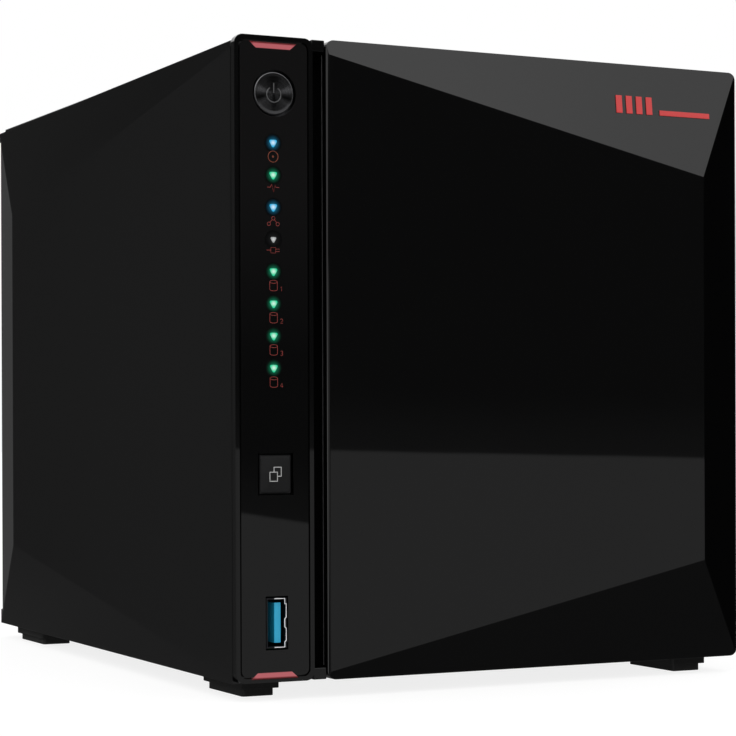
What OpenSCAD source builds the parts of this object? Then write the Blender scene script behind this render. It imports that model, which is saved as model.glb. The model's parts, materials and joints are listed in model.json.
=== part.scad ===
// Four-bay desktop storage enclosure, modelled at real size in millimetres.
// The origin is on the floor under the middle of the case: +X right, -Y front, +Z up.

/* [Case] */
// Overall width of the case
case_w = 170; // [170:1:172]
// Overall depth, from the front cover's face to the rear edge
case_d = 230; // [230:1:234]
// Overall height, feet included
case_h = 185.5; // [185.5:0.5:188]
// Height of the rubber feet
foot_h = 5; // [4:0.5:6]
// Thickness of the side panels where they are thickest
panel_t = 6; // [6:0.2:7]
// Wall thickness of the moulded shells
wall = 2.6; // [2:0.2:2.8]
// How far the side facets fall back at the rear corners
side_recess = 4; // [2:0.5:4]
// Distance of the side's upright crease from the rear edge
side_crease = 27.7; // [12:0.1:32]
// How far the side's top edge lies under the top
side_dip = 1.8; // [0:0.1:2.5]
// Height of the side's upper crease at its rear end
side_high = 151.6; // [150:0.1:165]
// Height of the side's lower crease at its rear end
side_low = 34.7; // [20:0.1:40]

/* [Front cover] */
// Thickness of the cover from its front plane to its back
cover_t = 11.6; // [11:0.1:12]
// How far the cover's facets fall back at its right corners
cover_recess = 4; // [3:0.5:6]
// Left edge of the cover
cover_x0 = -56.7; // [-58:0.1:-56]
// Upright crease near the cover's right edge
cover_crease = 70.5; // [66:0.1:76]
// Height of the upper crease at its right end
cover_high = 152.3; // [145:0.1:160]
// Height of the lower crease at its right end
cover_low = 35.2; // [25:0.1:40]
// Radius of the four magnets
magnet_r = 4; // [3:0.5:4.5]

/* [Indicator strip] */
// Right edge of the strip housing
strip_x1 = -61.0; // [-62:0.1:-60]
// Upright centre line of the buttons and lights
strip_mid = -72.7; // [-74:0.1:-72]
// Height of the power button's centre
power_z = 169.4; // [168:0.1:171]
// Radius of the power button
power_r = 6; // [5:0.05:6.5]
// Height of the copy button's centre
copy_z = 63.2; // [58:0.1:66]
// Height of the topmost light
light_z = 155.5; // [154:0.1:157]
// Spacing of the lights
light_pitch = 8.96; // [8.8:0.01:9.2]
// Number of lights
light_count = 8; // [6:1:8]
// Height of the front port's centre
usb_z = 21.7; // [19:0.1:24]

/* [Drive bays] */
// Spacing of the four drive bays
bay_pitch = 32.35; // [32.2:0.05:32.4]
// Height of the middle of the bays
bay_z = 111.5; // [111:0.1:112]
// Length of a tray behind its front
tray_len = 155; // [150:1:155]
// Length of a tray's lever above its pivot
lever_len = 77; // [60:1:77]

/* [Fan] */
// Side of the square fan frame
fan_size = 120; // [120:1:120]
// Thickness of the fan
fan_t = 25; // [25:1:25]
// Number of blades
blade_count = 7; // [5:2:9]

/* [Hidden] */
left = -case_w / 2;
right = case_w / 2;
front = -case_d / 2;
rear = case_d / 2;
base = foot_h;
top = case_h;
eps = 0.01;

// Case shell
panel_in = right - panel_t;
skin_t = 3;
side_start = side_dip + 1.7;
body_front = front + cover_t + 0.4;
strip_back = front + 2.5;
rear_y = rear - 3.2;
rear_t = 1.2;
sheet = 0.8;
screw_x = 74.5;
screw_heights = [20, 92, 165];
side_crease_y = rear - side_crease;

// Bays
bay_count = 4;
bay_x0 = -52.2;
bay_w = bay_pitch * bay_count;
bay_lo = 52;
bay_hi = 171;
cage_x0 = bay_x0 - 1;
cage_x1 = bay_x0 + bay_w + 0.4;
cage_floor_z = 50;
cage_roof_z = 173;
cage_y0 = body_front + 4.2;
cage_y1 = 84;
front_t = 8;
tray_y0 = body_front + 2;
tray_y1 = tray_y0 + front_t;
tray_end = tray_y1 + tray_len;
drive_w = 101.6;
drive_inner = drive_w + 1;
drive_bolt_y = 44.45;
drive_bolt_z = 95.25;
drive_bolt_mid = tray_end - 41.28 - drive_bolt_y / 2;
plate_t = 1.6;
flange_t = 2;
tongue_h = 5.8;
pivot_y = tray_y0 + 2.4;
pivot_z = 72;
pivot_r = 1.5;
running_gap = 0.06;

// Electronics
board_z = 15;
board_t = 1.6;
board_top = board_z + board_t;
port_y = rear - 1.6;
backplane_y = 70;
fan_x = 8;
fan_z = 113;
fan_y0 = rear_y - fan_t;
fan_holes = 105;
cable_y = -10;
board_posts = [for (x = [-43, 67], y = [-30, 98]) [x, y]];
cpu_pos = [6, 18];

// Front strip: the lens, the buttons behind it and the board they press on
light_dx = -0.5;
usb_dx = 0.2;
lens_y0 = front + 0.1;
lens_y1 = front + 1.3;
lens_m = 1.3;
lens_gap = 0.4;
io_board_y = front + 12.4;
button_y = front + 0.6;
button_back = strip_back - 1;
flange_y = strip_back + 0.3;
stem_end = io_board_y - 5.8;

// Front cover and what holds it on the bezel
cover_edge = 0.7;
cover_start = 4.2;
cover_foot = 2.3;
cover_wall = 2.4;
cover_back_y = front + cover_t;
magnet_spots = [for (x = [-44, 68], z = [15, 177]) [x, z]];
peg_spots = [[-44, 30], [68, 30]];

// USB port shells
usb_w = 14;
usb_h = 6.2;
usb_shell_t = 0.4;

// Rear ports: left edge, width and height of each body that stands on the board
lan_x = -15;
lan_size = [16, 13.5];
rear_usb_x = [10, 30];
rear_usb_z = board_top + usb_h / 2;
dc_x = 52;
dc_size = [10, 11.4];
dc_z = board_top + 6.4;
reset_x = -28;
reset_z = board_top + 3.4;
lock_x = -60;

// ---- Helpers ----

// Box between its lowest and its highest corner
module block(lo, hi) translate(lo) cube(hi - lo);

// Solid spanned by its corner points
module wedge(points) hull() polyhedron(points, [[for (i = [0:len(points) - 1]) i]]);

// Rod along +Y from y0 to y1
module rod_y(x, z, y0, y1, r) translate([x, y0, z]) rotate([-90, 0, 0])
  cylinder(r = r, h = y1 - y0, $fn = 64);

// Rod along +X from x0 to x1
module rod_x(y, z, x0, x1, r) translate([x0, y, z]) rotate([0, 90, 0])
  cylinder(r = r, h = x1 - x0, $fn = 48);

// Rectangle with round corners
module round_rect(lo, hi, r) {
  translate([lo.x + r, lo.y]) square([hi.x - lo.x - 2 * r, hi.y - lo.y]);
  translate([lo.x, lo.y + r]) square([hi.x - lo.x, hi.y - lo.y - 2 * r]);
  for (x = [lo.x + r, hi.x - r], y = [lo.y + r, hi.y - r]) translate([x, y]) circle(r = r, $fn = 48);
}

// Slab from y0 to y1 whose outline is drawn in X and Z
module slab_y(y0, y1) translate([0, y1, 0]) rotate([90, 0, 0]) linear_extrude(y1 - y0) children();

// Upright slab from z0 to z1 whose outline is drawn in X and Y
module slab_z(z0, z1) translate([0, 0, z0]) linear_extrude(z1 - z0) children();

// The same shape at each bay
module at_bay(i) translate([bay_x0 + i * bay_pitch, 0, 0]) children();

// ---- Case shell ----

// Heights of the side's two sloping creases at a depth y
function side_top(y) = top - side_start + (y - front) / (side_crease_y - front) * (side_high - top + side_start);
function side_bottom(y) = base + 0.2 + (y - front) / (side_crease_y - front) * (side_low - base - 0.2);

// How far the side lies inside its centre plane at p = [y, z]
function side_drop(p) = max(0,
  side_recess * (p.x - side_crease_y) / side_crease,
  side_recess * (p.y - side_top(p.x)) / (top - side_top(rear)),
  side_recess * (side_bottom(p.x) - p.y) / (side_bottom(rear) - base));

// Corners and crease ends of a side that starts at y0 and lies m inside its edges
function side_points(y0, m) = let (y = y0 + m, c = side_crease_y - m, r = rear - m) [
  [y, base + m], [y, top - side_dip - m], [r, base + m], [r, top - side_dip - m],
  [y, side_top(y0) - m], [y, side_bottom(y0) + m],
  [c, side_top(side_crease_y) - m], [c, side_bottom(side_crease_y) + m]];

// Solid between the faceted skin, sunk by depth, and the plane x = inner
module side_body(y0, m, depth, inner) wedge([
  for (p = side_points(y0, m)) each [[left + side_drop(p) + depth, p.x, p.y], [inner, p.x, p.y]]]);

module side_panel(y0) {
  rim = 5;
  difference() {
    union() {
      side_body(y0, 0, 0, -panel_in);
      for (z = screw_heights) block([-panel_in - eps, rear_y - 3.2, z - 6], [-70, rear_y, z + 6]);
    }
    side_body(y0, rim, wall, 1 - panel_in);
    block([-panel_in - wall, rear_y, base + rim], [-70, rear + 1, top - rim]);
    for (z = screw_heights) rod_y(-screw_x, z, rear_y - 4, rear_y + 1, 1.5);
  }
}

module left_side_panel() color([0.03, 0.03, 0.03]) side_panel(strip_back + 0.1);

module right_side_panel() color([0.03, 0.03, 0.03]) mirror([1, 0, 0]) side_panel(body_front);

module top_panel() color([0.03, 0.03, 0.03])
  block([0.2 - panel_in, body_front, top - skin_t], [panel_in - 0.2, rear, top]);

module bottom_panel() color([0.05, 0.05, 0.05]) difference() {
  block([0.2 - panel_in, body_front, base], [panel_in - 0.2, rear, base + skin_t]);
  slab_z(base - 1, base + skin_t + 1) {
    for (x = [-44:8:68], y = [-78, -20]) round_rect([x - 1.5, y], [x + 1.5, y + 44], 1.4);
  }
}

module rubber_feet() color([0.02, 0.02, 0.02])
  for (x = [-72.6, 72.6], y = [-89, 89]) translate([x, y, 0]) {
    slab_z(0, 2.2) round_rect([-4.9, -12.7], [4.9, 12.7], 1);
    slab_z(2.2, base) round_rect([-6.1, -14], [6.1, 14], 0.8);
  }

// Ring-shaped openings in front of the fan, crossed by spokes
module fan_openings() difference() {
  for (r = [16:8:48]) difference() {
    circle(r = r + 5.8, $fn = 96);
    circle(r = r, $fn = 96);
  }
  for (a = [0:45:135]) rotate(a) square([120, 3], center = true);
}

module rear_panel() color([0.06, 0.06, 0.06]) difference() {
  block([0.2 - panel_in, rear_y, 46.2], [panel_in - 0.2, rear_y + rear_t, top - skin_t - 0.2]);
  translate([fan_x, rear_y + rear_t + 1, fan_z]) rotate([90, 0, 0]) linear_extrude(rear_t + 2) fan_openings();
  for (x = [-1, 1], z = [-1, 1])
    rod_y(fan_x + x * fan_holes / 2, fan_z + z * fan_holes / 2, rear_y - 1, rear, 2.3);
  for (x = [-screw_x, screw_x], z = [screw_heights[1], screw_heights[2]]) rod_y(x, z, rear_y - 1, rear, 1.7);
}

module io_plate() color([0.06, 0.06, 0.06]) difference() {
  block([0.2 - panel_in, rear_y, base + skin_t + 0.2], [panel_in - 0.2, rear_y + rear_t, 45.8]);
  slab_y(rear_y - 1, rear) {
    translate([lan_x - 0.3, board_top - 0.3]) square([lan_size.x + 0.6, lan_size.y + 0.6]);
    for (x = rear_usb_x) translate([x - 7.3, rear_usb_z - 3.5]) square([14.6, 7]);
    translate([dc_x - 0.3, board_top - 0.3]) square([dc_size.x + 0.6, dc_size.y + 0.6]);
    round_rect([lock_x - 3.5, 26], [lock_x + 3.5, 29], 1);
  }
  rod_y(reset_x, reset_z, rear_y - 1, rear, 1.5);
  for (x = [-screw_x, screw_x]) rod_y(x, screw_heights[0], rear_y - 1, rear, 1.7);
}

// Pan-head screw whose head rests at the origin and whose shank runs along -Z
module screw(head_r, head_h, shank_r, shank_l) {
  translate([0, 0, -shank_l]) cylinder(r = shank_r, h = shank_l + eps, $fn = 32);
  difference() {
    cylinder(r = head_r, h = head_h, $fn = 48);
    for (a = [0, 90]) rotate(a) translate([-head_r * 0.55, -0.4, head_h - 0.8]) cube([head_r * 1.1, 0.8, 1]);
  }
}

module case_screws() color([0.55, 0.55, 0.56])
  for (x = [-screw_x, screw_x], z = screw_heights) translate([x, rear_y + rear_t, z]) rotate([-90, 0, 0])
    screw(2.9, 1.7, 1.44, 4);

// ---- Drive cage ----

module cage_left_wall() color([0.6, 0.61, 0.62]) difference() {
  block([cage_x0 - sheet, cage_y0, base + skin_t], [cage_x0, cage_y1, cage_roof_z + sheet]);
  slab_x_holes(cage_x0 - sheet);
  block([cage_x0 - 2, cable_y - 5, board_top], [cage_x0 + 1, cable_y + 5, board_top + 18]);
}

module cage_right_wall() color([0.6, 0.61, 0.62]) difference() {
  block([cage_x1, cage_y0, base + skin_t], [cage_x1 + sheet, cage_y1, cage_roof_z + sheet]);
  slab_x_holes(cage_x1);
}

// Air holes through a side wall of the cage
module slab_x_holes(x0)
  for (y = [-70:28:42], z = [72, 98, 124, 150]) rod_x(y, z, x0 - 1, x0 + sheet + 1, 7);

module cage_floor() color([0.6, 0.61, 0.62]) difference() {
  block([cage_x0, cage_y0, cage_floor_z - sheet], [cage_x1, cage_y1, cage_floor_z]);
  block([-11, backplane_y - 0.4, cage_floor_z - 2], [41, backplane_y + board_t + 0.4, cage_floor_z + 1]);
}

module cage_roof() color([0.6, 0.61, 0.62])
  block([cage_x0, cage_y0, cage_roof_z], [cage_x1, cage_y1, cage_roof_z + sheet]);

// One channel that guides a tray's tongue, standing on the cage floor
module guide_channel() difference() {
  block([2, tray_y1 + 1, cage_floor_z], [9, tray_end, bay_z - drive_inner / 2 - flange_t - 0.4]);
  block([3.7, tray_y1, cage_floor_z + 2], [7.3, tray_end + 1, bay_z]);
}

module tray_guides() color([0.12, 0.12, 0.13])
  for (i = [0:bay_count - 1]) at_bay(i) {
    guide_channel();
    translate([0, 0, 2 * bay_z]) mirror([0, 0, 1]) guide_channel();
  }

// ---- Trays ----

module tray_frame() {
  half = drive_inner / 2 + flange_t;
  x0 = 1;
  difference() {
    union() {
      block([x0, tray_y1, bay_z - half], [x0 + plate_t, tray_end, bay_z + half]);
      for (m = [0, 1]) translate([0, 0, m * 2 * bay_z]) mirror([0, 0, m]) {
        block([x0, tray_y1, bay_z - half], [29.6, tray_end, bay_z - half + flange_t]);
        block([4, tray_y1 + 0.5, bay_z - half - tongue_h], [7, tray_end - 2, bay_z - half + eps]);
      }
    }
    for (y = [-78:34:24]) block([x0 - 1, y, bay_z - 30], [x0 + plate_t + 1, y + 14, bay_z + 30]);
    for (y = [-1, 1], z = [-1, 1])
      rod_x(drive_bolt_mid + y * drive_bolt_y / 2, bay_z + z * drive_bolt_z / 2, 0, 4, 1.8);
  }
}

module tray_front() difference() {
  block([0.3, tray_y0, bay_lo + 0.6], [bay_pitch - 0.3, tray_y1, bay_hi - 0.6]);
  block([7.2, tray_y0 - 1, pivot_z - 2.8], [25.2, tray_y0 + 5, pivot_z + lever_len + 9]);
  rod_x(pivot_y, pivot_z, 5.6, 26.8, pivot_r + running_gap);
  for (x = [10.2, 14.7, 19.2]) block([x, tray_y0, 84], [x + 3, tray_y1 + 1, 144]);
  for (x = [2.2, 27.2]) block([x, tray_y0 - 1, 84], [x + 3, tray_y1 + 1, 144]);
}

module tray_lever() {
  difference() {
    union() {
      block([7.5, tray_y0, pivot_z], [24.9, tray_y0 + 4.6, pivot_z + lever_len]);
      rod_x(pivot_y, pivot_z, 7.5, 24.9, 2.2);
    }
    block([11.2, tray_y0 - 1, 86], [21.2, tray_y0 + 3, 126]);
    block([10, tray_y0 + 1.8, pivot_z + lever_len - 9], [22.4, tray_y0 + 6, pivot_z + lever_len - 2]);
  }
  rod_x(pivot_y, pivot_z, 5.9, 26.5, pivot_r);
}

module tray_frame_at(i) color([0.1, 0.1, 0.11]) at_bay(i) tray_frame();
module tray_front_at(i) color([0.05, 0.05, 0.05]) at_bay(i) tray_front();
module tray_lever_at(i) color([0.13, 0.13, 0.14]) at_bay(i) tray_lever();

// ---- Electronics ----

module backplane() color([0.05, 0.3, 0.14]) difference() {
  union() {
    block([cage_x0, backplane_y, 58], [cage_x1, backplane_y + board_t, 168]);
    block([-10, backplane_y, board_top + 4], [40, backplane_y + board_t, 58 + eps]);
  }
  for (i = [0:bay_count - 1]) at_bay(i)
    block([13, backplane_y - 1, 70], [27, backplane_y + board_t + 1, 152]);
}

module sata_connectors() color([0.04, 0.04, 0.05])
  for (i = [0:bay_count - 1]) at_bay(i) difference() {
    block([3.4, tray_end + 0.6, bay_z - 21], [9.8, backplane_y, bay_z + 21]);
    block([5.2, tray_end - 1, bay_z - 19], [8, tray_end + 4.6, bay_z + 19]);
    block([6.6, tray_end, bay_z - 3], [11, tray_end + 4.6, bay_z - 1]);
  }

module mainboard() color([0.04, 0.27, 0.13]) difference() {
  block([-49, -40, board_z], [73, 107, board_top]);
  for (p = board_posts) translate([p.x, p.y, board_z - 1]) cylinder(r = 1.7, h = 4, $fn = 32);
}

module standoffs() color([0.72, 0.6, 0.32]) for (p = board_posts) translate([p.x, p.y, base + skin_t])
  difference() {
    cylinder(r = 3, h = board_z - base - skin_t, $fn = 6);
    translate([0, 0, 2]) cylinder(r = 1.5, h = board_z, $fn = 32);
  }

module board_screws() color([0.6, 0.6, 0.62])
  for (p = board_posts) translate([p.x, p.y, board_top]) screw(2.8, 1.6, 1.44, 5);

module board_parts() color([0.07, 0.07, 0.08]) {
  // Processor and memory packages
  block([cpu_pos.x - 11, cpu_pos.y - 11, board_top], [cpu_pos.x + 11, cpu_pos.y + 11, board_top + 1.4]);
  for (x = [36, 50]) block([x, 8, board_top], [x + 10, 22, board_top + 1.1]);
  // Storage controller and network chip
  block([-38, 30, board_top], [-26, 42, board_top + 1.2]);
  block([-12, 80, board_top], [-4, 88, board_top + 1]);
  // Capacitors and coils of the supply
  for (y = [50:11:83]) translate([62, y, board_top]) cylinder(r = 4, h = 11, $fn = 40);
  for (y = [56, 72]) block([46, y, board_top], [55, y + 9, board_top + 5]);
  // Coin cell in its holder
  translate([-30, 4, board_top]) cylinder(r = 10.4, h = 3.6, $fn = 64);
  // Socket that takes the backplane's tab
  difference() {
    block([-14, backplane_y - 4, board_top], [44, backplane_y + board_t + 4, board_top + 9]);
    block([-10.2, backplane_y - 0.2, board_top + 3.6], [40.2, backplane_y + board_t + 0.2, board_top + 10]);
  }
  // Switch behind the reset hole
  difference() {
    block([reset_x - 3, 100, board_top], [reset_x + 3, 109, board_top + 6.4]);
    rod_y(reset_x, reset_z, 104, 110, 1.1 + running_gap);
  }
  // Headers of the fan lead and of the front board
  block([-44, 88, board_top], [-36, 94, board_top + 6]);
  block([-48, cable_y - 4, board_top], [-42.2, cable_y + 4, board_top + 4]);
}

module heatsink() color([0.55, 0.56, 0.58]) {
  lo = [cpu_pos.x - 21, cpu_pos.y - 21, board_top + 1.4];
  block(lo, lo + [42, 42, 3]);
  for (x = [0:4:40]) translate(lo + [x, 0, 3 - eps]) cube([1.4, 42, 13]);
}

module lan_port() color([0.66, 0.67, 0.68]) {
  cx = lan_x + lan_size.x / 2;
  difference() {
    block([lan_x, port_y - 21, board_top], [lan_x + lan_size.x, port_y, board_top + lan_size.y]);
    block([cx - 5.9, port_y - 15, board_top + 3.4], [cx + 5.9, port_y + 1, board_top + 11.4]);
    block([cx - 3, port_y - 15, board_top + 1.4], [cx + 3, port_y + 1, board_top + 4]);
  }
}

// Port shell with its mouth at y = 0 facing -Y, its width along X and its height along Z
module usb_shell(depth) difference() {
  translate([-usb_w / 2, 0, -usb_h / 2]) cube([usb_w, depth, usb_h]);
  translate([usb_shell_t - usb_w / 2, -1, usb_shell_t - usb_h / 2])
    cube([usb_w - 2 * usb_shell_t, depth, usb_h - 2 * usb_shell_t]);
}

module usb_tongue(depth) translate([-5.6, 1.2, -0.2]) cube([11.2, depth - 2.2, 1.9]);

module rear_usb_shells() color([0.72, 0.73, 0.74])
  for (x = rear_usb_x) translate([x, port_y, rear_usb_z]) mirror([0, 1, 0]) usb_shell(18);

module rear_usb_tongues() color([0.05, 0.3, 0.65])
  for (x = rear_usb_x) translate([x, port_y, rear_usb_z]) mirror([0, 1, 0]) usb_tongue(18);

module dc_jack() color([0.05, 0.05, 0.05]) {
  cx = dc_x + dc_size.x / 2;
  difference() {
    block([dc_x, port_y - 14, board_top], [dc_x + dc_size.x, port_y, board_top + dc_size.y]);
    rod_y(cx, dc_z, port_y - 9.5, port_y + 1, 2.85);
  }
  rod_y(cx, dc_z, port_y - 9.5 - eps, port_y - 0.8, 1.25);
}

module reset_button() color([0.1, 0.1, 0.1]) rod_y(reset_x, reset_z, 105, rear_y + 0.8, 1.1);

// ---- Fan ----

module fan_frame() color([0.07, 0.07, 0.07]) translate([fan_x, rear_y, fan_z]) rotate([90, 0, 0]) {
  half = fan_size / 2;
  difference() {
    linear_extrude(fan_t) round_rect([-half, -half], [half, half], 5);
    translate([0, 0, -1]) cylinder(r = half - 2, h = fan_t + 2, $fn = 128);
    for (x = [-1, 1], y = [-1, 1]) translate([x * fan_holes / 2, y * fan_holes / 2, -1])
      cylinder(r = 2.15, h = fan_t + 2, $fn = 32);
    difference() {
      translate([0, 0, 4]) cylinder(r = half + 30, h = fan_t - 8, $fn = 64);
      translate([0, 0, 3]) cylinder(r = half + 0.5, h = fan_t - 6, $fn = 128);
    }
  }
  linear_extrude(2.4) {
    circle(r = 20, $fn = 64);
    for (a = [45:90:315]) rotate(a) translate([18, -2]) square([half - 19, 4]);
  }
}

// Coil pack and the shaft that the rotor turns on
module fan_motor() color([0.6, 0.42, 0.24]) {
  rod_y(fan_x, fan_z, rear_y - 14, rear_y - 2.4, 14);
  rod_y(fan_x, fan_z, rear_y - 20, rear_y - 14 + eps, pivot_r);
}

module fan_rotor() color([0.09, 0.09, 0.1]) translate([fan_x, 0, fan_z]) {
  y0 = fan_y0 + 2;
  y1 = rear_y - 3;
  difference() {
    rod_y(0, 0, y0, y1, 20);
    rod_y(0, 0, y0 + 7, y1 + 1, 18.6);
    rod_y(0, 0, y0 + 2.4, y0 + 8, pivot_r + running_gap);
  }
  difference() {
    intersection() {
      for (i = [0:blade_count - 1]) rotate([0, i * 360 / blade_count, 0]) translate([19, y0 + 9.5, 0])
        rotate([-38, 0, 0]) translate([0, -0.9, -15]) cube([40, 1.8, 30]);
      rod_y(0, 0, y0, y1, 56.4);
    }
    rod_y(0, 0, y0 - 1, y1 + 1, 19.4);
  }
}

module fan_screws() color([0.1, 0.1, 0.1])
  for (x = [-1, 1], z = [-1, 1])
    translate([fan_x + x * fan_holes / 2, rear_y + rear_t, fan_z + z * fan_holes / 2])
      rotate([-90, 0, 0]) screw(3.6, 1.7, 2, 9);

module fan_lead() color([0.08, 0.08, 0.08]) {
  translate([-40, 91, board_top + 6]) cylinder(r = 1.3, h = fan_z - fan_size / 2 - board_top - 6, $fn = 24);
}

// ---- Front ----

module front_bezel() color([0.05, 0.05, 0.05]) difference() {
  block([strip_x1 + 0.2, body_front, base + skin_t + 0.2], [panel_in - 0.2, cage_y0, top - skin_t - 0.2]);
  block([bay_x0 - 0.1, body_front - 1, bay_lo], [bay_x0 + bay_w + 0.1, cage_y0 + 1, bay_hi]);
  for (p = magnet_spots) rod_y(p.x, p.y, body_front - 1, body_front + 2, magnet_r);
  for (p = peg_spots) rod_y(p.x, p.y, body_front - 1, cage_y0 + 1, 2.3);
  slab_y(body_front - 1, cage_y0 + 1)
    for (x = [-32:8:56]) round_rect([x - 2, 22], [x + 2, 44], 1.9);
}

module keeper_plates() color([0.7, 0.7, 0.71])
  for (p = magnet_spots) rod_y(p.x, p.y, body_front, body_front + 2, magnet_r);

// Outline of the glossy strip, m inside the housing's edge
module strip_outline(m) round_rect([left + 0.1 + m, base + 0.2 + m], [strip_x1 - m, top - 0.2 - m], 2.6 - m / 2);

// Everything that reaches the front through the strip
module strip_cutouts() {
  y0 = front - 1;
  y1 = strip_back + 0.1;
  rod_y(strip_mid, power_z, y0, y1, power_r + 0.6);
  block([strip_mid - 5.4, y0, copy_z - 5.9], [strip_mid + 5.4, y1, copy_z + 5.9]);
  block([strip_mid + usb_dx - 3.4, y0, usb_z - 7.5], [strip_mid + usb_dx + 3.4, y1, usb_z + 7.5]);
  for (i = [0:light_count - 1]) rod_y(strip_mid + light_dx, light_z - i * light_pitch, y0, y1, 1.05);
  accents();
}

module strip_housing() color([0.04, 0.04, 0.04]) difference() {
  union() {
    slab_y(front, strip_back) strip_outline(0);
    difference() {
      union() {
        block([0.3 - panel_in, strip_back - eps, base + 3.3], [strip_x1, cage_y0, top - 3.3]);
        block([0.3 - panel_in, strip_back - eps, base + 0.2], [strip_x1, body_front - 0.3, top - 0.2]);
      }
      block([1.7 - panel_in, strip_back - 1, base + 4.7], [strip_x1 - 1.4, cage_y0 + 1, top - 4.7]);
    }
  }
  slab_y(front - 1, lens_y1) strip_outline(lens_m);
  strip_cutouts();
}

module strip_lens() color([0.02, 0.02, 0.02]) difference() {
  slab_y(lens_y0, lens_y1) strip_outline(lens_m + lens_gap);
  strip_cutouts();
}

// Two bars at the ends of the strip, each narrowing towards the middle
module accents() {
  bar = [[-7.7, top - 2], [6.8, top - 2], [4.7, top - 3.8], [-5.6, top - 3.8]];
  translate([strip_mid, 0, 0]) slab_y(front, front + 1.6) {
    polygon(bar);
    polygon([for (p = bar) [p.x, base + 1.2 + top - 2 - p.y]]);
  }
}

module accent_bars() color([0.8, 0.12, 0.15]) accents();

module light_pipes() color([0.8, 0.9, 0.9])
  for (i = [0:light_count - 1])
    rod_y(strip_mid + light_dx, light_z - i * light_pitch, lens_y0, io_board_y - 1, 0.95);

module front_io_board() color([0.04, 0.27, 0.13]) {
  block([1.9 - panel_in, io_board_y, 13], [strip_x1 - 1.6, io_board_y + board_t, 179]);
  for (i = [0:light_count - 1])
    block([strip_mid + light_dx - 1, io_board_y - 0.8, light_z - i * light_pitch - 0.6],
      [strip_mid + light_dx + 1, io_board_y + eps, light_z - i * light_pitch + 0.6]);
}

module tact_switches() color([0.1, 0.1, 0.1])
  for (z = [power_z, copy_z]) {
    block([strip_mid - 3, io_board_y - 3.5, z - 3], [strip_mid + 3, io_board_y, z + 3]);
    rod_y(strip_mid, z, io_board_y - 4.6, io_board_y - 3.5 + eps, 1.7);
  }

// Neck, catch plate and stem behind a button, the plate reaching h above and below its centre
module button_stem(z, h) {
  block([strip_mid - 3.9, button_back - eps, z - 3.5], [strip_mid + 3.9, flange_y + 0.1, z + 3.5]);
  block([strip_mid - 3.9, flange_y, z - h], [strip_mid + 7.6, flange_y + 1, z + h]);
  rod_y(strip_mid, z, flange_y + 1 - eps, stem_end, 2);
}

module power_button() color([0.1, 0.1, 0.1]) {
  difference() {
    rod_y(strip_mid, power_z, button_y, button_back, power_r);
    translate([strip_mid, button_y - 58.4, power_z]) sphere(r = 58.6, $fn = 96);
  }
  button_stem(power_z, power_r + 1.8);
}

module copy_button() color([0.12, 0.12, 0.12]) {
  block([strip_mid - 4.7, button_y, copy_z - 5.3], [strip_mid + 4.7, button_back, copy_z + 5.3]);
  button_stem(copy_z, 7.2);
}

module at_front_port() translate([strip_mid + usb_dx, front + 0.3, usb_z]) rotate([0, 90, 0]) children();

module front_usb_shell() color([0.8, 0.8, 0.8]) at_front_port() usb_shell(io_board_y - front - 0.3);

module front_usb_tongue() color([0.05, 0.35, 0.7]) at_front_port() usb_tongue(io_board_y - front - 0.3);

// Flat cable on edge from the front board, back and then right to the mainboard's header
module signal_cable() color([0.2, 0.2, 0.21]) {
  x = strip_mid + 5;
  y0 = io_board_y + board_t;
  slab_z(board_top + 5, board_top + 15) polygon([
    [x - 0.3, y0 + 3], [x + 0.3, y0 + 3], [x + 0.3, cable_y - 0.3], [-45, cable_y - 0.3],
    [-45, cable_y + 0.3], [x - 0.3, cable_y + 0.3]]);
  block([x - 2.5, y0, board_top + 4], [x + 2.5, y0 + 5, board_top + 16]);
  block([-47.6, cable_y - 3, board_top + 4], [-42.6, cable_y + 3, board_top + 15.6]);
}

// ---- Front cover ----

// Heights of the cover's two sloping creases at x
function cover_top(x) = top - cover_start
  + (x - cover_x0 - cover_edge) / (cover_crease - cover_x0 - cover_edge) * (cover_high - top + cover_start);
function cover_bottom(x) = base + cover_foot
  + (x - cover_x0 - cover_edge) / (cover_crease - cover_x0 - cover_edge) * (cover_low - base - cover_foot);

// How far the cover lies behind its front plane at p = [x, z]
function cover_drop(p) = max(0,
  0.6 * (cover_x0 + cover_edge - p.x) / cover_edge,
  cover_recess * (p.x - cover_crease) / (right - cover_crease),
  cover_recess * (p.y - cover_top(p.x)) / (top - cover_top(right)),
  cover_recess * (cover_bottom(p.x) - p.y) / (cover_bottom(right) - base));

// Corners and crease ends of the cover, m inside its edges
function cover_points(m) = let (x0 = cover_x0 + m, x1 = right - m, e = x0 + cover_edge, c = cover_crease - m) [
  [x0, base + m], [x0, top - m], [e, base + m], [e, top - m], [x1, base + m], [x1, top - m],
  [e, cover_top(cover_x0 + cover_edge) - m], [e, cover_bottom(cover_x0 + cover_edge) + m],
  [c, cover_top(cover_crease) - m], [c, cover_bottom(cover_crease) + m]];

// Solid between the faceted face, sunk by depth, and the plane y = back
module cover_body(m, depth, back) wedge([
  for (p = cover_points(m)) each [[p.x, front + cover_drop(p) + depth, p.y], [p.x, back, p.y]]]);

module front_cover() color([0.02, 0.02, 0.02]) difference() {
  intersection() {
    cover_body(0, 0, cover_back_y);
    slab_y(front - 1, cover_back_y + 1) round_rect([cover_x0, base], [right, top], 2.5);
  }
  cover_body(cover_wall, cover_wall, cover_back_y + 1);
}

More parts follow.
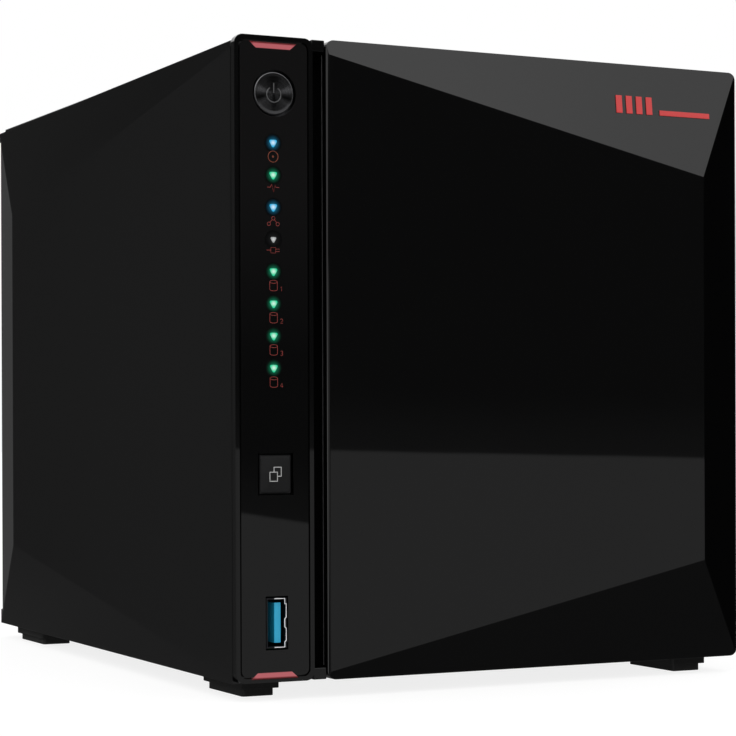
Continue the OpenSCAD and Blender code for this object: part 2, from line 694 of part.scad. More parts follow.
module cover_back() color([0.05, 0.05, 0.05]) {
  m = cover_wall + 0.1;
  difference() {
    block([cover_x0 + m, cover_back_y - 2, base + m], [right - m, cover_back_y, top - m]);
    for (p = magnet_spots) rod_y(p.x, p.y, cover_back_y - 3, cover_back_y + 1, magnet_r);
    slab_y(cover_back_y - 3, cover_back_y + 1)
      for (x = [-32:16:56], z = [36, 106]) round_rect([x - 3, z], [x + 3, z + 54], 2.9);
  }
  for (p = peg_spots) rod_y(p.x, p.y, cover_back_y - eps, cover_back_y + 3.6, 2);
}

module cover_magnets() color([0.75, 0.75, 0.76])
  for (p = magnet_spots) rod_y(p.x, p.y, cover_back_y - 2, cover_back_y, magnet_r);

// Raised mark on the upper facet: four short bars, for the bays, and one long one
module cover_badge() color([0.75, 0.1, 0.12]) difference() {
  intersection() {
    slab_y(front - 1, cover_back_y) {
      for (i = [0:3]) translate([40 + i * 3.6, 170.4]) square([2.2, 5.4]);
      translate([55.6, 170.4]) square([18.4, 1.6]);
    }
    translate([0, -0.3, 0]) cover_body(0, 0, cover_back_y);
  }
  cover_body(0, 0, cover_back_y);
}

// ---- One line for each node ----

left_side_panel();
right_side_panel();
top_panel();
bottom_panel();
rubber_feet();
rear_panel();
io_plate();
case_screws();
cage_left_wall();
cage_right_wall();
cage_floor();
cage_roof();
tray_guides();
backplane();
sata_connectors();
mainboard();
board_parts();
heatsink();
standoffs();
board_screws();
lan_port();
rear_usb_shells();
rear_usb_tongues();
dc_jack();
reset_button();
fan_frame();
fan_motor();
fan_rotor();
fan_screws();
fan_lead();
front_bezel();
keeper_plates();
strip_housing();
strip_lens();
accent_bars();
light_pipes();
front_io_board();
tact_switches();
front_usb_shell();
front_usb_tongue();
signal_cable();
power_button();
copy_button();
front_cover();
cover_back();
cover_magnets();
cover_badge();
for (i = [0:bay_count - 1]) {
  tray_frame_at(i);
  tray_front_at(i);
  tray_lever_at(i);
}
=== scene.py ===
"""Looks, light and camera of the four-bay storage enclosure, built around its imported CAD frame."""
import json
import math

import bmesh
import bpy
from mathutils import Matrix, Vector


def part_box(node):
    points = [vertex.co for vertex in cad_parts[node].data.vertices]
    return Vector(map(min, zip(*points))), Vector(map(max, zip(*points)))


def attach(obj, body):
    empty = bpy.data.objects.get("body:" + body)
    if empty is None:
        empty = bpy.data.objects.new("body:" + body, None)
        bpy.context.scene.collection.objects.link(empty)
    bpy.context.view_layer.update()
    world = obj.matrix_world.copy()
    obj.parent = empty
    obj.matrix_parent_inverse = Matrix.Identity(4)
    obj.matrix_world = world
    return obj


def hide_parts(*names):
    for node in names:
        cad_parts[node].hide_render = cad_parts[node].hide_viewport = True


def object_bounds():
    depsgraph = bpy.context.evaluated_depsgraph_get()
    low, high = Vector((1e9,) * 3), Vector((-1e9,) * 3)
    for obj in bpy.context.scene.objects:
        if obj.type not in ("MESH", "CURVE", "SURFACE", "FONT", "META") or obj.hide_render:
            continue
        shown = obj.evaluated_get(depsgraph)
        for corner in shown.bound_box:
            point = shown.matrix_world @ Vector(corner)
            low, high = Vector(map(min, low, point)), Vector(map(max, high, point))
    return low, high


MM = 0.001
SLIM = 0.03 * MM  # how far a light or its glow stands off the window

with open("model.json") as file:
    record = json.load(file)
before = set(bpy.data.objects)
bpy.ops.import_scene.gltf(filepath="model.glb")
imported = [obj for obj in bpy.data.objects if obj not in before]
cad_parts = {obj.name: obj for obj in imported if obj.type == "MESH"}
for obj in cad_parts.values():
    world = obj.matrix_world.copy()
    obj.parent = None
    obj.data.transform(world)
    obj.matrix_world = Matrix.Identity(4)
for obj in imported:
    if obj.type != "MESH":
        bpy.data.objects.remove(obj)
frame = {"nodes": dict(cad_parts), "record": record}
cad_box = [list(corner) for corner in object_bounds()]
nodes = frame["nodes"]


# ---- Materials ----

class Paint:
    """A procedural material: one Principled shader, and short ways to feed its sockets."""

    def __init__(self, name, color, roughness, metallic=0.0, **sockets):
        self.mat = bpy.data.materials.new(name)
        self.mat.use_nodes = True
        self.tree = self.mat.node_tree
        self.shader = self.tree.nodes["Principled BSDF"]
        self.color = color
        self.height = None
        self.set("Base Color", (*color, 1))
        self.set("Roughness", roughness)
        self.set("Metallic", metallic)
        for key, value in sockets.items():
            self.set(key.replace("_", " "), value)

    def set(self, socket, value):
        self.shader.inputs[socket].default_value = value

    def node(self, kind, **values):
        """Adds a node; each value sets the property of its name, or else fills that input."""
        made = self.tree.nodes.new("ShaderNode" + kind)
        for key, value in values.items():
            if hasattr(made, key):
                setattr(made, key, value)
            else:
                self.feed(made.inputs[key.replace("_", " ")], value)
        return made

    def feed(self, socket, value):
        if isinstance(value, bpy.types.NodeSocket):
            self.tree.links.new(value, socket)
        else:
            socket.default_value = value

    def place(self, scale=(1, 1, 1), kind="Object"):
        """The surface's own coordinates, in metres unless kind is Generated."""
        coords = self.node("TexCoord").outputs[kind]
        return self.node("Mapping", Vector=coords, Scale=scale).outputs["Vector"]

    def distance(self, x, z, kind="Object"):
        """How far the surface is from the line along Y through x and z."""
        made = self.node("VectorMath", operation="DISTANCE")
        self.feed(made.inputs[0], self.place((1, 0, 1), kind))
        made.inputs[1].default_value = (x, 0, z)
        return made.outputs["Value"]

    def noise(self, size, detail=2.0, stretch=(1, 1, 1)):
        """Noise from 0 to 1 whose grains are about size metres."""
        at = self.place(tuple(k / size for k in stretch))
        return self.node("TexNoise", Vector=at, Scale=1.0, Detail=detail).outputs["Fac"]

    def cells(self, size, stretch=(1, 1, 1)):
        """Distance from the middle of the nearest of many cells about size metres apart."""
        at = self.place(tuple(k / size for k in stretch))
        return self.node("TexVoronoi", Vector=at, Scale=1.0).outputs["Distance"]

    def math(self, operation, a, b=0.0, c=0.0):
        made = self.node("Math", operation=operation)
        for socket, value in zip(made.inputs, (a, b, c)):
            self.feed(socket, value)
        return made.outputs[0]

    def remap(self, value, lo, hi, to_lo=0.0, to_hi=1.0):
        made = self.node("MapRange")
        for socket, v in zip(made.inputs, (value, lo, hi, to_lo, to_hi)):
            self.feed(socket, v)
        return made.outputs[0]

    def blend(self, factor, first, second):
        """A colour between two colours."""
        made = self.node("Mix", data_type="RGBA")
        self.feed(made.inputs[0], factor)
        for socket, value in ((made.inputs[6], first), (made.inputs[7], second)):
            self.feed(socket, (*value, 1) if isinstance(value, tuple) else value)
        return made.outputs[2]

    def glow(self, color):
        """Takes the light it gives from a node."""
        self.feed(self.shader.inputs["Emission Color"], color)

    def vary_color(self, factor, second):
        self.feed(self.shader.inputs["Base Color"], self.blend(factor, self.color, second))
        return self

    def vary_rough(self, factor, lo, hi, start=0.3, end=0.7):
        self.feed(self.shader.inputs["Roughness"], self.remap(factor, start, end, lo, hi))
        return self

    def bump(self, height, depth):
        """Adds relief: a height from 0 to 1 that is depth metres deep."""
        made = self.node("Bump", Height=height, Distance=depth, Strength=1.0)
        if self.height:
            self.feed(made.inputs["Normal"], self.height)
        self.height = made.outputs["Normal"]
        self.feed(self.shader.inputs["Normal"], self.height)
        return self


def gloss_black(name, base, rough):
    """Polished moulded plastic with a faint orange peel and fine handling marks."""
    p = Paint(name, (base, base, base * 1.05), rough)
    hairs = p.noise(1.1 * MM, 3, (1, 1, 0.04))
    p.vary_rough(hairs, rough * 0.85, rough * 1.25)
    p.vary_color(p.noise(30 * MM), (base * 1.3, base * 1.3, base * 1.35))
    p.bump(p.noise(45 * MM, 1), 0.006 * MM)
    p.bump(p.noise(0.9 * MM, 1), 0.00004 * MM)
    return p


def satin(name, color, rough, grain=0.5 * MM, depth=0.012 * MM, **sockets):
    """Fine-textured moulded plastic."""
    p = Paint(name, color, rough, **sockets)
    speckle = p.noise(grain, 3)
    p.vary_rough(speckle, rough * 0.9, min(1, rough * 1.15))
    p.vary_color(p.noise(12 * MM, 3), tuple(c * 1.25 for c in color))
    return p.bump(speckle, depth)


def metal(name, color, rough, stretch=(1, 1, 1), grain=0.6 * MM, depth=0.004 * MM):
    """Bare metal with its rolled or drawn grain."""
    p = Paint(name, color, rough, 1.0)
    streaks = p.noise(grain, 3, stretch)
    p.vary_rough(streaks, rough * 0.8, min(1, rough * 1.3))
    p.vary_color(p.noise(9 * MM, 4), tuple(c * 0.82 for c in color))
    return p.bump(streaks, depth)


# The window leans back a little and is very slightly twisted, which lowers what it mirrors
LENS_LEAN, LENS_TWIST, LEAN_AT = -0.0154, -0.113, -0.0806  # slope, its change per metre of x, x


def make_paints():
    """The finish of each material slot in the record."""
    case = gloss_black("gloss black shell", 0.0010, 0.012)

    lens = gloss_black("smoked window", 0.0010, 0.012)
    axes = lens.node("SeparateXYZ", Vector=lens.place()).outputs
    # Painted reflection: the window's colour turns lighter towards its top.
    lens.vary_color(lens.remap(axes["Z"], 0.095, 0.145), (0.0042, 0.0040, 0.0041))
    lean = lens.math("MULTIPLY_ADD", axes["X"], LENS_TWIST, LENS_LEAN - LENS_TWIST * LEAN_AT)
    lens.bump(lens.math("MULTIPLY", lens.math("SUBTRACT", axes["Z"], 0.05), lean), 1.0)

    matte = satin("textured black shell", (0.004, 0.004, 0.0042), 0.42)
    rubber = satin("foot rubber", (0.0032, 0.0032, 0.0031), 0.7, 0.35 * MM, 0.02 * MM)

    powder = Paint("powder coat", (0.012, 0.012, 0.0125), 0.5)
    dots = powder.cells(0.55 * MM)
    powder.vary_color(powder.noise(20 * MM, 4), (0.017, 0.017, 0.018))
    powder.vary_rough(dots, 0.42, 0.62, 0, 0.8).bump(dots, 0.03 * MM)

    sheet = Paint("galvanised sheet", (0.52, 0.53, 0.54), 0.33, 1.0)
    spangle = sheet.cells(4 * MM, (1, 1, 0.8))
    tone = sheet.math("FRACT", sheet.math("MULTIPLY", spangle, 2.3))
    sheet.vary_color(tone, (0.40, 0.41, 0.43)).vary_rough(tone, 0.26, 0.42, 0, 1)
    sheet.bump(sheet.noise(0.8 * MM, 3), 0.003 * MM)

    green = Paint("solder mask", (0.006, 0.07, 0.03), 0.28)
    lanes = green.node("TexBrick", Vector=green.place((900, 900, 900)), Scale=1.0, Mortar_Size=0.06)
    green.vary_color(green.math("SUBTRACT", 1.0, lanes.outputs["Fac"]), (0.01, 0.12, 0.05))
    green.bump(lanes.outputs["Fac"], 0.02 * MM)

    clear = Paint("light pipe", (0.35, 0.4, 0.4), 0.15, Transmission_Weight=0.6, IOR=1.49)
    clear.vary_rough(clear.noise(0.5 * MM), 0.1, 0.25)

    # The two bars get a painted highlight, though they are not lit: a brighter red that glows
    # pinkish white along their middles. Their rims stay dark.
    red = Paint("red window painted highlight", (0.07, 0.003, 0.004), 0.18, Emission_Strength=1.0)
    bars_lo, bars_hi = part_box("accent_bars")
    middle, painted_highlight_z = (bars_lo + bars_hi) / 2, (bars_hi - bars_lo).z / 2 - 1.1 * MM
    at = red.node("SeparateXYZ", Vector=red.place()).outputs
    from_middle = red.math("ABSOLUTE", red.math("SUBTRACT", at["Z"], middle.z))
    off_painted_highlight = red.math("ABSOLUTE", red.math("SUBTRACT", from_middle, painted_highlight_z))
    along = red.math("ABSOLUTE", red.math("SUBTRACT", at["X"], middle.x + 0.4 * MM))
    core = red.math("MULTIPLY", red.remap(off_painted_highlight, 0.5 * MM, 0.85 * MM, 1.0, 0.0),
                    red.remap(along, 6.2 * MM, 7.4 * MM, 1.0, 0.1))
    red.vary_color(core, (0.30, 0.012, 0.016))
    red.glow(red.blend(core, (0.02, 0.0, 0.0), (0.14, 0.092, 0.102)))
    red.bump(red.noise(1.2 * MM, 2), 0.01 * MM)

    brushed = metal("brushed dark metal", (0.055, 0.055, 0.058), 0.32, depth=0.001 * MM)
    wires = metal("wound copper", (0.75, 0.36, 0.17), 0.35, (1, 6, 1), 0.5 * MM, 0.08 * MM)

    blue = satin("blue tongue", (0.013, 0.31, 0.50), 0.35, 0.4 * MM, 0.01 * MM)

    return {
        "case_gloss": case, "lens_gloss": lens, "case_matte": matte, "foot_rubber": rubber,
        "rear_paint": powder, "sheet_steel": sheet, "board_green": green, "light_clear": clear,
        "trim_red": red, "button_metal": brushed, "motor_copper": wires, "port_blue": blue,
        "screw_steel": metal("zinc screw", (0.62, 0.62, 0.6), 0.28),
        "screw_black": metal("black oxide screw", (0.05, 0.05, 0.052), 0.4),
        "tray_plastic": satin("tray plastic", (0.011, 0.011, 0.012), 0.5, 0.6 * MM, 0.02 * MM),
        "lever_plastic": satin("lever plastic", (0.022, 0.022, 0.024), 0.38),
        "part_black": satin("component resin", (0.012, 0.012, 0.013), 0.55, 0.3 * MM, 0.01 * MM),
        "heatsink_aluminium": metal("extruded aluminium", (0.78, 0.79, 0.8), 0.3, (1, 0.05, 1)),
        "post_brass": metal("brass", (0.78, 0.58, 0.26), 0.3),
        "port_steel": metal("nickelled shell", (0.42, 0.42, 0.43), 0.34),
        "button_matte": satin("matte key", (0.0062, 0.0062, 0.0066), 0.6, 0.45 * MM, 0.03 * MM,
                              Specular_IOR_Level=0.22),
        "magnet_nickel": metal("nickel plating", (0.72, 0.7, 0.66), 0.2),
        "fan_plastic": satin("fan plastic", (0.010, 0.010, 0.011), 0.36, 0.5 * MM, 0.008 * MM),
        "cable_grey": satin("cable jacket", (0.09, 0.09, 0.095), 0.5, 0.7 * MM, 0.02 * MM),
    }


paints = make_paints()
special = {
    "cover_badge": satin("badge red", (0.46, 0.03, 0.03), 0.4, 0.4 * MM, 0.006 * MM),
    # Painted shade: the front port's shell is a darker copy of the nickelled shell metal.
    "front_usb_shell": metal("port shell painted shade", (0.05, 0.05, 0.055), 0.4),
}
slot_of = {s["node"]: s["material_slot"] for s in frame["record"]["subparts"]}
for name, obj in nodes.items():
    obj.data.materials.clear()
    obj.data.materials.append(special.get(name, paints[slot_of[name]]).mat)
    obj.data.polygons.foreach_set("material_index", [0] * len(obj.data.polygons))


# ---- Edges of the CAD pieces ----

FACETED = ["front_cover", "left_side_panel", "right_side_panel"]
BROAD_FACE = 150 * MM * MM  # a face of a faceted piece is shaded flat if it is larger than this
SHARP = math.radians(28)  # an edge is rounded if it turns more than this
SAME_PLANE = math.radians(0.4)  # faces are joined if they turn less than this
SAME_POINT = 0.0005 * MM


def make_facets():
    """Geometry nodes that shade broad faces flat, so shallow creases between them stay crisp."""
    group = bpy.data.node_groups.new("flat facets", "GeometryNodeTree")
    for way in ("INPUT", "OUTPUT"):
        group.interface.new_socket("Geometry", in_out=way, socket_type="NodeSocketGeometry")
    source, area, broad, shade, result = (group.nodes.new(kind) for kind in (
        "NodeGroupInput", "GeometryNodeInputMeshFaceArea", "ShaderNodeMath",
        "GeometryNodeSetShadeSmooth", "NodeGroupOutput"))
    broad.operation = "GREATER_THAN"
    broad.inputs[1].default_value = BROAD_FACE
    shade.inputs["Shade Smooth"].default_value = False
    for start, end in ((source.outputs[0], shade.inputs["Geometry"]),
                       (area.outputs["Area"], broad.inputs[0]),
                       (broad.outputs[0], shade.inputs["Selection"]),
                       (shade.outputs[0], result.inputs[0])):
        group.links.new(start, end)
    return group


flat_facets = make_facets()


def round_edges(name, width):
    """Gives a CAD node's sharp edges a small round, by modifiers alone."""
    obj = nodes[name]
    weld = obj.modifiers.new("weld", "WELD")
    weld.merge_threshold = SAME_POINT
    flat = obj.modifiers.new("flat", "DECIMATE")
    flat.decimate_type = "DISSOLVE"
    flat.angle_limit = SAME_PLANE
    edge = obj.modifiers.new("edge", "BEVEL")
    edge.width = width
    edge.segments = 6 if name in FACETED else 3
    edge.limit_method = "ANGLE"
    edge.angle_limit = SHARP
    edge.use_clamp_overlap = True
    edge.miter_outer = "MITER_ARC"
    if name in FACETED:
        obj.modifiers.new("facets", "NODES").node_group = flat_facets
    else:
        obj.modifiers.new("normals", "WEIGHTED_NORMAL").weight = 100
    for poly in obj.data.polygons:
        poly.use_smooth = True


EDGES = {  # width of the round: the nodes that get it
    0.8 * MM: FACETED,
    0.55 * MM: ["strip_housing"],
    0.35 * MM: ["top_panel", "rubber_feet"],
    0.2 * MM: ["bottom_panel", "front_bezel", "rear_panel", "io_plate", "cover_back",
               "fan_frame"],
    0.12 * MM: ["strip_lens", "accent_bars", "cover_badge", "dc_jack", "lan_port",
                "sata_connectors"],
    0.3 * MM: [f"tray_{i}_{part}" for i in range(1, 5) for part in ("frame", "front", "lever")],
}
for width, names in EDGES.items():
    for name in names:
        round_edges(name, width)


# ---- Mesh helpers ----

def piece(name, mesh, paint, body, smooth=True):
    """Links a mesh as an object that rides on a CAD body."""
    obj = bpy.data.objects.new(name, mesh)
    bpy.context.scene.collection.objects.link(obj)
    mesh.materials.append(paint.mat)
    for poly in mesh.polygons:
        poly.use_smooth = smooth
    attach(obj, body)
    return obj


def from_bmesh(name, bm):
    """The mesh of a finished bmesh, with its normals outwards."""
    bmesh.ops.recalc_face_normals(bm, faces=bm.faces)
    mesh = bpy.data.meshes.new(name)
    bm.to_mesh(mesh)
    bm.free()
    return mesh


def solid(name, bm, paint, body, smooth=True):
    """Turns a finished bmesh into an object that rides on a CAD body."""
    return piece(name, from_bmesh(name, bm), paint, body, smooth)


def prism(bm, outline, y0, y1):
    """Closed slab from y0 to y1 (y0 in front) over an outline in x and z, all in metres."""
    rings = [[bm.verts.new((x, y, z)) for x, z in outline] for y in (y0, y1)]
    count = len(outline)
    for i in range(count):
        j = (i + 1) % count
        bm.faces.new((rings[0][i], rings[0][j], rings[1][j], rings[1][i]))
    bm.faces.new(rings[0])
    bm.faces.new(rings[1][::-1])


def lathe(bm, profile, centre, steps):
    """Closed solid turned about a line along Y; profile is (radius, y) from axis to axis."""
    cx, cz = centre
    rings = []
    for r, y in profile:
        if r < 1e-7:
            rings.append([bm.verts.new((cx, y, cz))])
        else:
            turn = [2 * math.pi * k / steps for k in range(steps)]
            rings.append([bm.verts.new((cx + r * math.cos(t), y, cz + r * math.sin(t)))
                          for t in turn])
    for a, b in zip(rings, rings[1:]):
        for k in range(steps):
            n = (k + 1) % steps
            corners = [a[k % len(a)], a[n % len(a)], b[n % len(b)], b[k % len(b)]]
            unique = list(dict.fromkeys(corners))
            if len(unique) > 2:
                bm.faces.new(unique)


def arc(cx, cz, rx, rz, start, end, steps):
    """Points of an elliptical arc, angles in degrees, anticlockwise from +X."""
    turn = [math.radians(start + (end - start) * k / steps) for k in range(steps + 1)]
    return [(cx + rx * math.cos(t), cz + rz * math.sin(t)) for t in turn]


def round_box(x0, z0, x1, z1, r, steps):
    """Outline of a rectangle with round corners."""
    corners = [(x1 - r, z0 + r, -90), (x1 - r, z1 - r, 0), (x0 + r, z1 - r, 90),
               (x0 + r, z0 + r, 180)]
    return [p for cx, cz, a in corners for p in arc(cx, cz, r, r, a, a + 90, steps)]


def strokes(name, lines, radius, y, paint, body):
    """Raised line work: each line is points in x and z, in metres, drawn as a rod at depth y."""
    curve = bpy.data.curves.new(name, "CURVE")
    curve.dimensions = "3D"
    curve.bevel_depth = radius
    curve.bevel_resolution = 2
    curve.use_fill_caps = True
    for points in lines:
        closed = (Vector(points[0]) - Vector(points[-1])).length < 1e-7
        kept = points[:-1] if closed else points
        spline = curve.splines.new("POLY")
        spline.points.add(len(kept) - 1)
        spline.use_cyclic_u = closed
        for target, (x, z) in zip(spline.points, kept):
            target.co = (x, y, z, 1)
    holder = bpy.data.objects.new(name, curve)
    bpy.context.scene.collection.objects.link(holder)
    bpy.context.view_layer.update()
    drawn = holder.evaluated_get(bpy.context.evaluated_depsgraph_get())
    mesh = bpy.data.meshes.new_from_object(drawn)
    mesh.name = name
    mesh.materials.clear()
    bpy.data.objects.remove(holder)
    return piece(name, mesh, paint, body)


# ---- Indicator strip ----

HUES = {"blue": (0.02, 0.36, 0.64), "green": (0.015, 0.55, 0.27), "white": (0.36, 0.38, 0.38)}
LIGHTS = ["blue", "green", "blue", "white"] + 4 * ["green"]  # from the top down

pipes_lo, pipes_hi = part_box("light_pipes")
pipe_r = (pipes_hi.x - pipes_lo.x) / 2
light_x = (pipes_lo.x + pipes_hi.x) / 2
light_top = pipes_hi.z - pipe_r
light_pitch = (light_top - (pipes_lo.z + pipe_r)) / (len(LIGHTS) - 1)
lens_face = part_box("strip_lens")[0].y
key_x = light_x + 0.5 * MM  # the middle of the two buttons


def light_paint(name, hue, power):
    """Lit window whose middle is nearly white."""
    p = Paint(name, tuple(c * 0.1 for c in hue), 0.3, Emission_Strength=power)
    core = p.remap(p.distance(0.5, 0.6, "Generated"), 0.05, 0.45, 0.9, 0.0)
    p.glow(p.blend(core, hue, tuple(0.35 * c + 0.65 for c in hue)))
    return p


def halo_paint(name, hue, power):
    """Glow that fades from the middle of a disc into the dark window around it."""
    p = Paint(name, (0.0012, 0.0012, 0.0013), 0.012, Emission_Strength=power)
    inward = p.remap(p.distance(0.5, 0.5, "Generated"), 0.12, 0.5, 1.0, 0.0)
    p.glow(p.blend(p.math("POWER", inward, 2.2), (0.0, 0.0, 0.0), hue))
    return p


def make_lights():
    """A small downward triangle of light over each pipe, with a glow round it."""
    looks = {}
    for hue, color in HUES.items():
        dim = hue == "white"
        looks[hue] = (light_paint(f"{hue} light", color, 0.75 if dim else 1.05),
                      halo_paint(f"{hue} glow", color, 0.03 if dim else 0.36))
    corners = [(0.71, 0.47, -30), (-0.71, 0.47, 90), (0, -0.78, 210)]  # x, z, where the arc starts
    front, back, disc_r = lens_face - SLIM, lens_face + SLIM, 2.6 * MM
    for i, hue in enumerate(LIGHTS):
        lit, glow = looks[hue]
        z = light_top - i * light_pitch
        unit = (0.75 if hue == "white" else 1.0) * MM
        outline = [point for dx, dz, turn in corners
                   for point in arc(light_x + dx * unit, z + dz * unit, 0.42 * unit, 0.42 * unit,
                                    turn, turn + 120, 6)]
        bm = bmesh.new()
        prism(bm, outline, lens_face - 2.6 * SLIM, front)
        solid(f"light_{i + 1}", bm, lit, "case", smooth=False)
        bm = bmesh.new()
        lathe(bm, [(0, front), (disc_r, front), (disc_r, back), (0, back)], (light_x, z), 48)
        solid(f"glow_{i + 1}", bm, glow, "case", smooth=False)


make_lights()

mark_red = Paint("printed red", (0.30, 0.035, 0.028), 0.45)
mark_red.vary_color(mark_red.noise(0.4 * MM, 2), (0.20, 0.022, 0.017))
mark_red.bump(mark_red.noise(0.2 * MM), 0.003 * MM)
mark_orange = Paint("printed orange", (0.26, 0.055, 0.018), 0.45)
mark_orange.vary_color(mark_orange.noise(0.4 * MM, 2), (0.17, 0.03, 0.012))

DIGITS = {  # lines in x and z, one high, about their middle
    1: [[(-0.2, 0.3), (0.05, 0.5), (0.05, -0.5)]],
    2: [arc(0, 0.22, 0.28, 0.28, 160, -30, 10) + [(-0.28, -0.5), (0.3, -0.5)]],
    3: [arc(0, 0.25, 0.26, 0.25, 150, -90, 10), arc(0, -0.25, 0.28, 0.25, 90, -150, 10)],
    4: [[(0.3, -0.2), (-0.35, -0.2), (0.12, 0.5), (0.12, -0.5)]],
}


def digit(number, x, z, size):
    """Lines of a plain digit whose middle is at x and z, in metres."""
    return [[(x + px * size, z + pz * size) for px, pz in line] for line in DIGITS[number]]


def make_symbols():
    """Line symbols under the lights: power, activity, network, port and the four drives."""
    def at(z, lines):
        """Moves lines in millimetres to the strip's middle at height z."""
        return [[(light_x + x * MM, z + dz * MM) for x, dz in line] for line in lines]

    def level(i, drop):
        """Height that is drop millimetres under a light."""
        return light_top - i * light_pitch - drop * MM

    def mark(name, lines, radius=0.065 * MM, paint=mark_red):
        strokes(f"symbol_{name}", lines, radius, lens_face - SLIM / 2, paint, "case")

    ring = [arc(0, 0, 1.5, 1.55, 0, 360, 32), arc(0, 0, 0.22, 0.22, 0, 360, 8)]
    pulse = [[(-1.8, 0), (-0.9, 0), (-0.45, 0.9), (0.1, -1.3), (0.55, 0.6), (0.8, 0), (1.8, 0)]]
    tree = [arc(x, z, 0.5, 0.5, 0, 360, 16) for x, z in ((0, 0.85), (-1.35, -0.75), (1.35, -0.75))]
    tree += [[(-0.35, 0.45), (-1.05, -0.35)], [(0.35, 0.45), (1.05, -0.35)]]
    plug = [[(-2.1, 0), (-0.8, 0)],
            [(-0.8, -0.75), (-0.8, 0.75), (0.7, 0.75), (0.7, -0.75), (-0.8, -0.75)],
            [(0.7, 0.35), (1.9, 0.35)], [(0.7, -0.35), (1.9, -0.35)]]
    drive = [arc(0, 1.05, 1.15, 0.42, 0, 360, 24), [(-1.15, 1.05), (-1.15, -1.05)],
             [(1.15, 1.05), (1.15, -1.05)], arc(0, -1.05, 1.15, 0.42, 180, 360, 14)]
    mark("power", at(level(0, 3.8), ring), 0.0845 * MM, mark_orange)
    mark("activity", at(level(1, 3.4), pulse), 0.0845 * MM)
    mark("network", at(level(2, 3.9), tree))
    mark("port", at(level(3, 3.0), plug))
    for i in range(4):
        z = level(4 + i, 3.9)
        mark(f"drive_{i + 1}", at(z, drive))
        mark(f"digit_{i + 1}", digit(i + 1, light_x + 2.4 * MM, z - 0.9 * MM, 1.25 * MM))


make_symbols()


def make_power_key():
    """Turned cap of the power button: a chamfer with a painted highlight, a brushed dish with
    painted highlights and painted shade, and the on-off symbol.
    """
    lo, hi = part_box("power_button")
    x, z, face = key_x, (lo.z + hi.z) / 2, lo.y
    r = 6.0 * MM
    rim_r = r * 0.93
    dish = [(r * k / 10, face + 0.06 * MM - 0.16 * MM * (k / 10) ** 2) for k in range(10)]
    rim = [(rim_r, face - 0.14 * MM), (r * 0.955, face - 0.15 * MM), (r * 0.99, face - 0.06 * MM),
           (r, face + 0.05 * MM), (r, face + 0.4 * MM), (0, face + 0.4 * MM)]
    bm = bmesh.new()
    lathe(bm, dish + rim, (x, z), 128)
    cap = Paint("spun metal painted light", (0.075, 0.075, 0.078), 0.22, 1.0, Anisotropic=0.9)
    around = cap.node("Tangent", direction_type="RADIAL", axis="Y")
    cap.feed(cap.shader.inputs["Tangent"], around.outputs["Tangent"])
    reach = cap.distance(x, z)
    rings = cap.node("TexNoise", noise_dimensions="1D", W=reach, Scale=9000.0, Detail=3.0)
    rings = rings.outputs["Fac"]
    cap.vary_rough(rings, 0.16, 0.3)
    # Painted highlights and painted shade: the base colour is lighter in two wedges just above the
    # middle, where the turning marks would catch light, and darker under it
    at = cap.node("SeparateXYZ", Vector=cap.place()).outputs
    aside = cap.math("ABSOLUTE", cap.math("SUBTRACT", at["X"], x))
    rise = cap.math("ARCTAN2", cap.math("SUBTRACT", at["Z"], z), aside)
    painted_light_wave = cap.math("MULTIPLY", cap.math("SINE", cap.math("MULTIPLY", rise, 5.5)),
                    cap.remap(cap.math("ABSOLUTE", rise), 0.3, 0.75, 1.0, 0.0))
    painted_light_wave = cap.math("MULTIPLY", painted_light_wave, cap.remap(reach, 1.2 * MM, 3.2 * MM, 0.2, 1.0))
    bright = cap.math("MAXIMUM", painted_light_wave, 0.0)
    dark = cap.math("MAXIMUM", cap.math("MULTIPLY", painted_light_wave, -1.0), 0.0)
    tone = cap.blend(rings, (0.026, 0.026, 0.027), (0.052, 0.052, 0.054))
    tone = cap.blend(bright, tone, (0.125, 0.125, 0.13))
    tone = cap.blend(dark, tone, (0.006, 0.006, 0.006))
    # The chamfer's lighter colour is a painted highlight.
    on_rim = cap.remap(reach, rim_r, rim_r + 0.15 * MM)
    cap.feed(cap.shader.inputs["Base Color"], cap.blend(on_rim, tone, (0.17, 0.17, 0.175)))
    cap.bump(rings, 0.003 * MM)
    solid("power_button_cap", bm, cap, "power_key")
    sign = Paint("etched sign", (0.15, 0.15, 0.155), 0.35, 0.8)
    sign.vary_color(sign.noise(0.3 * MM), (0.10, 0.10, 0.10))
    lines = [arc(x, z - 0.35 * MM, 2.15 * MM, 2.15 * MM, 125, 415, 40),
             [(x, z + 0.1 * MM), (x, z + 2.9 * MM)]]
    strokes("power_sign", lines, 0.2 * MM, face, sign, "power_key")


